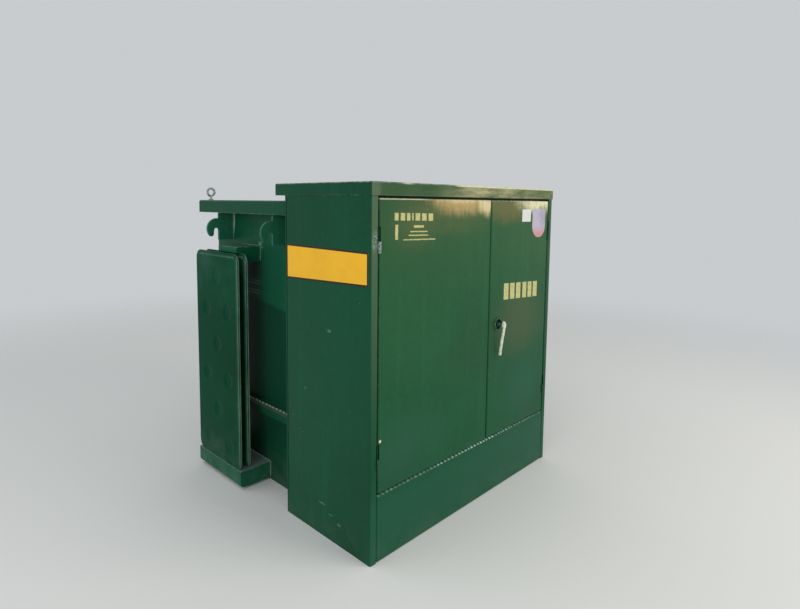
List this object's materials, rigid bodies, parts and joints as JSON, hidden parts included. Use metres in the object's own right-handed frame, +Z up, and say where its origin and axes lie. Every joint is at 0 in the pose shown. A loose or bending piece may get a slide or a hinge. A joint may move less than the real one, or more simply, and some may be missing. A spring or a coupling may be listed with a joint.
{
  "type": "pad-mounted distribution transformer",
  "caption": "Pad-mounted three-phase distribution transformer: oil tank with lid, side radiators and lifting hooks, and a sheet-steel terminal cabinet with hinged doors and a lever handle.",
  "frame": {"origin": "centre of the oil tank's flat base, on the ground", "axes": "+Z up, +Y from the cabinet doors back to the tank, +X to the right seen from the front"},
  "size_m": [1.454, 1.4426, 1.5],
  "materials": {
    "green_paint": "semi-gloss dark green enamel with light dust",
    "tank_paint": "semi-gloss dark green enamel over welded plate",
    "hinge_steel": "green enamel chipped at the edges",
    "zinc": "weathered zinc plating"
  },
  "bodies": {
    "transformer": {"cabinet_roof": "green_paint", "cabinet_side_left": "green_paint", "cabinet_side_right": "green_paint", "door_header": "green_paint", "front_sill": "green_paint", "hinge_left_lower_post_half": "hinge_steel", "hinge_left_upper_post_half": "hinge_steel", "hinge_right_lower_post_half": "hinge_steel", "hinge_right_upper_post_half": "hinge_steel", "lid_eye_left": "zinc", "lid_eye_right": "zinc", "lifting_hook_left_front": "tank_paint", "lifting_hook_left_rear": "tank_paint", "lifting_hook_right_front": "tank_paint", "lifting_hook_right_rear": "tank_paint", "radiator_left_lower_header": "tank_paint", "radiator_left_neck_1": "tank_paint", "radiator_left_panel_1": "tank_paint", "radiator_left_panel_2": "tank_paint", "radiator_left_upper_header": "tank_paint", "radiator_right_lower_header": "tank_paint", "radiator_right_neck_1": "tank_paint", "radiator_right_panel_1": "tank_paint", "radiator_right_panel_2": "tank_paint", "radiator_right_upper_header": "tank_paint", "tank_body": "tank_paint", "tank_front_plate": "tank_paint", "tank_lid": "tank_paint", "tank_rib_left": "tank_paint", "tank_rib_right": "tank_paint"},
    "left_door": {"door_left": "green_paint", "door_left_stiffener": "green_paint", "hinge_left_lower_door_half": "hinge_steel", "hinge_left_upper_door_half": "hinge_steel"},
    "right_door": {"door_right": "green_paint", "door_right_stiffener": "green_paint", "hinge_right_lower_door_half": "hinge_steel", "hinge_right_upper_door_half": "hinge_steel", "handle_boss": "hinge_steel"},
    "handle": {"handle_lever": "zinc"}
  },
  "joints": [
    {"name": "left_door_hinge", "type": "hinge", "parent": "transformer", "child": "left_door", "pos_m": [-0.63, -0.9686, 0.85], "axis": [0, 0, -1], "range_deg": [0, 120]},
    {"name": "right_door_hinge", "type": "hinge", "parent": "transformer", "child": "right_door", "pos_m": [0.63, -0.9686, 0.85], "axis": [0, 0, 1], "range_deg": [0, 120]},
    {"name": "handle_turn", "type": "hinge", "parent": "right_door", "child": "handle", "pos_m": [0.173, -0.9656, 0.838], "axis": [0, -1, 0], "range_deg": [0, 90]}
  ]
}
